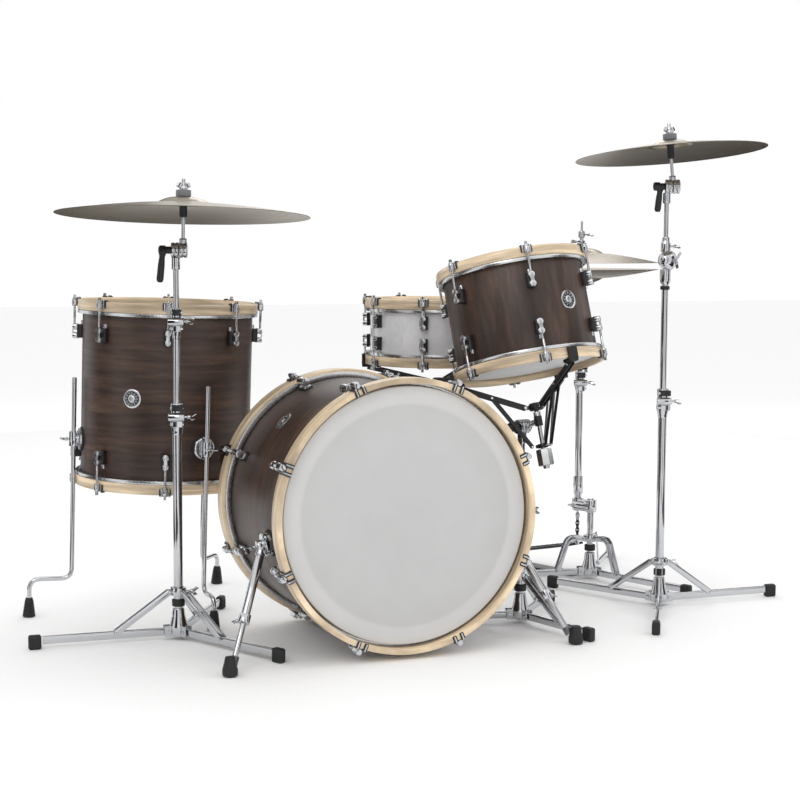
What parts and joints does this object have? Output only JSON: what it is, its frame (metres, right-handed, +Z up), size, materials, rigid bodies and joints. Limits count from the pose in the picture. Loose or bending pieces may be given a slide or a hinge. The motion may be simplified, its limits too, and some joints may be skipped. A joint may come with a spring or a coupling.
{
  "type": "acoustic drum kit",
  "caption": "Acoustic drum kit: bass drum with spurs, floor tom, rack tom and snare in basket stands, crash and ride cymbals on telescopic tripod stands, and hi-hats with a foot pedal.",
  "frame": {"origin": "middle of the kit's bounding box on the floor", "axes": "+X to the audience's right along the row of stands, +Y from the audience towards the player along the bass drum's axis, +Z up"},
  "size_m": [1.8736, 1.0004, 1.1837],
  "materials": {
    "walnut_shell": "satin brown stain over open grain",
    "maple_rim": "clear satin maple",
    "head_film": "smooth white film",
    "pearl_wrap": "white pearl wrap over a wooden shell",
    "chrome": "bright chrome plate",
    "bronze": "lathed and brushed",
    "black_arm": "black powder coat with rubber grip",
    "black_plate": "black powder coat",
    "rubber": "matt black rubber",
    "felt": "pressed wool felt"
  },
  "bodies": {
    "kit_frame": {"bass_shell": "walnut_shell", "bass_hoop_front": "maple_rim", "bass_hoop_rear": "maple_rim", "bass_head_front": "head_film", "bass_head_rear": "head_film", "floor_tom_shell": "walnut_shell", "floor_tom_head_top": "head_film", "floor_tom_head_bottom": "head_film", "floor_tom_hoop_top": "maple_rim", "floor_tom_hoop_bottom": "maple_rim", "left_stand_base": "chrome", "right_stand_base": "chrome", "hihat_base": "chrome", "tom_stand_base": "chrome", "snare_stand_base": "chrome"},
    "spur_left_tube": {"spur_left_tube": "chrome"},
    "spur_left_rod": {"spur_left_rod": "chrome"},
    "spur_right_tube": {"spur_right_tube": "chrome"},
    "spur_right_rod": {"spur_right_rod": "chrome"},
    "floor_tom_leg_1": {"floor_tom_leg_1": "chrome"},
    "floor_tom_leg_2": {"floor_tom_leg_2": "chrome"},
    "floor_tom_leg_3": {"floor_tom_leg_3": "chrome"},
    "left_stand_middle_tube": {"left_stand_middle_tube": "chrome"},
    "left_stand_upper_tube": {"left_stand_upper_tube": "chrome"},
    "left_cymbal": {"left_cymbal": "bronze"},
    "right_stand_tube": {"right_stand_tube": "chrome"},
    "right_stand_boom": {"right_stand_boom": "chrome"},
    "right_cymbal": {"right_cymbal": "bronze"},
    "hihat_pull_rod": {"hihat_pull_rod": "chrome"},
    "hihat_footboard": {"hihat_footboard": "black_plate"},
    "tom_stand_riser": {"tom_stand_riser": "chrome"},
    "snare_stand_riser": {"snare_stand_riser": "chrome"},
    "snare_throw_off": {"snare_throw_off": "chrome"},
    "left_stand_post": {"left_stand_cymbal_post": "chrome"},
    "right_stand_post": {"right_stand_cymbal_post": "chrome"},
    "hihat_tube": {"hihat_tube": "chrome", "hihat_bottom_cymbal": "bronze"},
    "hihat_top": {"hihat_top_cymbal": "bronze", "hihat_clutch": "chrome"},
    "tom_basket": {"tom_stand_basket": "chrome", "rack_tom_shell": "walnut_shell", "rack_tom_head_top": "head_film", "rack_tom_head_bottom": "head_film", "rack_tom_hoop_top": "maple_rim", "rack_tom_hoop_bottom": "maple_rim"},
    "snare_basket": {"snare_stand_basket": "chrome", "snare_shell": "pearl_wrap", "snare_head_top": "head_film", "snare_head_bottom": "head_film", "snare_hoop_top": "maple_rim", "snare_hoop_bottom": "maple_rim"},
    "tom_arm_1": {"tom_stand_arm_1": "black_arm"},
    "tom_arm_2": {"tom_stand_arm_2": "black_arm"},
    "tom_arm_3": {"tom_stand_arm_3": "black_arm"},
    "snare_arm_1": {"snare_stand_arm_1": "black_arm"},
    "snare_arm_2": {"snare_stand_arm_2": "black_arm"},
    "snare_arm_3": {"snare_stand_arm_3": "black_arm"}
  },
  "joints": [
    {"name": "spur_left_fold", "type": "hinge", "parent": "kit_frame", "child": "spur_left_tube", "pos_m": [-0.47592, -0.35324, 0.24603], "axis": [-0.9781, 0, -0.2079], "range_deg": [0, 75]},
    {"name": "spur_left_length", "type": "slide", "parent": "spur_left_tube", "child": "spur_left_rod", "axis": [0.3697, 0.4393, 0.8187], "range_m": [0, 0.06]},
    {"name": "spur_right_fold", "type": "hinge", "parent": "kit_frame", "child": "spur_right_tube", "pos_m": [0.10588, -0.35324, 0.24603], "axis": [-0.9781, 0, 0.2079], "range_deg": [0, 75]},
    {"name": "spur_right_length", "type": "slide", "parent": "spur_right_tube", "child": "spur_right_rod", "axis": [-0.3697, 0.4393, 0.8187], "range_m": [0, 0.06]},
    {"name": "floor_tom_leg_1_height", "type": "slide", "parent": "kit_frame", "child": "floor_tom_leg_1", "axis": [0.0258, -0.0103, 0.9996], "range_m": [0, 0.06]},
    {"name": "floor_tom_leg_2_height", "type": "slide", "parent": "kit_frame", "child": "floor_tom_leg_2", "axis": [0.0258, -0.0103, 0.9996], "range_m": [0, 0.06]},
    {"name": "floor_tom_leg_3_height", "type": "slide", "parent": "kit_frame", "child": "floor_tom_leg_3", "axis": [0.0258, -0.0103, 0.9996], "range_m": [0, 0.06]},
    {"name": "left_stand_middle_height", "type": "slide", "parent": "kit_frame", "child": "left_stand_middle_tube", "axis": [0, 0, 1], "range_m": [-0.02, 0.1]},
    {"name": "left_stand_upper_height", "type": "slide", "parent": "left_stand_middle_tube", "child": "left_stand_upper_tube", "axis": [0, 0, 1], "range_m": [-0.02, 0.1]},
    {"name": "left_stand_tilt", "type": "hinge", "parent": "left_stand_upper_tube", "child": "left_stand_post", "pos_m": [-0.59759, -0.1272, 0.878], "axis": [0.9291, -0.3697, 0], "range_deg": [-25, 25]},
    {"name": "left_cymbal_spin", "type": "hinge", "parent": "left_stand_post", "child": "left_cymbal", "pos_m": [-0.59016, -0.13016, 0.878], "axis": [0.0297, 0.0493, 0.9983], "continuous": true},
    {"name": "right_stand_height", "type": "slide", "parent": "kit_frame", "child": "right_stand_tube", "axis": [0, 0, 1], "range_m": [-0.06, 0.1]},
    {"name": "right_stand_boom_tilt", "type": "hinge", "parent": "right_stand_tube", "child": "right_stand_boom", "pos_m": [0.60498, -0.20064, 0.858], "axis": [0.23, -0.9732, 0], "range_deg": [-8, 35]},
    {"name": "right_stand_tilt", "type": "hinge", "parent": "right_stand_boom", "child": "right_stand_post", "pos_m": [0.61241, -0.2036, 1.037], "axis": [0.9291, -0.3697, 0], "range_deg": [-15, 25]},
    {"name": "right_cymbal_spin", "type": "hinge", "parent": "right_stand_post", "child": "right_cymbal", "pos_m": [0.61427, -0.20434, 1.037], "axis": [-0.0496, 0.0836, 0.9953], "continuous": true},
    {"name": "hihat_height", "type": "slide", "parent": "kit_frame", "child": "hihat_tube", "axis": [0, 0, 1], "range_m": [-0.05, 0]},
    {"name": "hihat_pull", "type": "slide", "parent": "kit_frame", "child": "hihat_pull_rod", "axis": [0, 0, -1], "range_m": [0, 0.0154], "stiffness_N_per_m": 1600, "springref_m": -0.02},
    {"name": "hihat_clutch_height", "type": "slide", "parent": "hihat_pull_rod", "child": "hihat_top", "axis": [0, 0, 1], "range_m": [0, 0.03]},
    {"name": "hihat_pedal", "type": "hinge", "parent": "kit_frame", "child": "hihat_footboard", "pos_m": [0.49185, 0.43926, 0.034], "axis": [0.9304, 0.3665, 0], "range_deg": [0, 3.5]},
    {"name": "tom_stand_height", "type": "slide", "parent": "kit_frame", "child": "tom_stand_riser", "axis": [0, 0, 1], "range_m": [-0.01, 0.08]},
    {"name": "tom_stand_tilt", "type": "hinge", "parent": "tom_stand_riser", "child": "tom_basket", "pos_m": [0.19498, -0.24324, 0.468], "axis": [0.9503, 0.3114, 0], "range_deg": [-2, 14]},
    {"name": "tom_arm_1_grip", "type": "hinge", "parent": "tom_basket", "child": "tom_arm_1", "pos_m": [0.19473, -0.26165, 0.51235], "axis": [-0.3833, -0.9007, 0.2046], "range_deg": [0, 6]},
    {"name": "tom_arm_2_grip", "type": "hinge", "parent": "tom_basket", "child": "tom_arm_2", "pos_m": [0.23581, -0.25561, 0.51431], "axis": [-0.605, 0.7554, -0.2518], "range_deg": [0, 6]},
    {"name": "tom_arm_3_grip", "type": "hinge", "parent": "tom_basket", "child": "tom_arm_3", "pos_m": [0.21988, -0.29305, 0.52282], "axis": [0.9883, 0.1453, 0.0471], "range_deg": [0, 6]},
    {"name": "snare_stand_height", "type": "slide", "parent": "kit_frame", "child": "snare_stand_riser", "axis": [0, 0, 1], "range_m": [-0.08, 0.012]},
    {"name": "snare_stand_tilt", "type": "hinge", "parent": "snare_stand_riser", "child": "snare_basket", "pos_m": [0.12798, 0.16876, 0.5], "axis": [0.9291, -0.3697, 0], "range_deg": [-5, 2]},
    {"name": "snare_arm_1_grip", "type": "hinge", "parent": "snare_basket", "child": "snare_arm_1", "pos_m": [0.13972, 0.19075, 0.543], "axis": [-0.3746, -0.9272, 0], "range_deg": [0, 6]},
    {"name": "snare_arm_2_grip", "type": "hinge", "parent": "snare_basket", "child": "snare_arm_2", "pos_m": [0.18089, 0.19653, 0.543], "axis": [-0.6157, 0.788, 0], "range_deg": [0, 6]},
    {"name": "snare_arm_3_grip", "type": "hinge", "parent": "snare_basket", "child": "snare_arm_3", "pos_m": [0.16532, 0.15799, 0.543], "axis": [0.9903, 0.1392, 0], "range_deg": [0, 6]},
    {"name": "snare_throw_off", "type": "hinge", "parent": "snare_basket", "child": "snare_throw_off", "pos_m": [0.0565, 0.34731, 0.653], "axis": [-0.8434, -0.5373, 0], "range_deg": [0, 80]}
  ],
  "couplings": [
    {"joint": "hihat_pull", "follows": "hihat_pedal", "m_per_rad": 0.25},
    {"joint": "tom_arm_2_grip", "follows": "tom_arm_1_grip", "ratio": 1},
    {"joint": "tom_arm_3_grip", "follows": "tom_arm_1_grip", "ratio": 1},
    {"joint": "snare_arm_2_grip", "follows": "snare_arm_1_grip", "ratio": 1},
    {"joint": "snare_arm_3_grip", "follows": "snare_arm_1_grip", "ratio": 1}
  ]
}
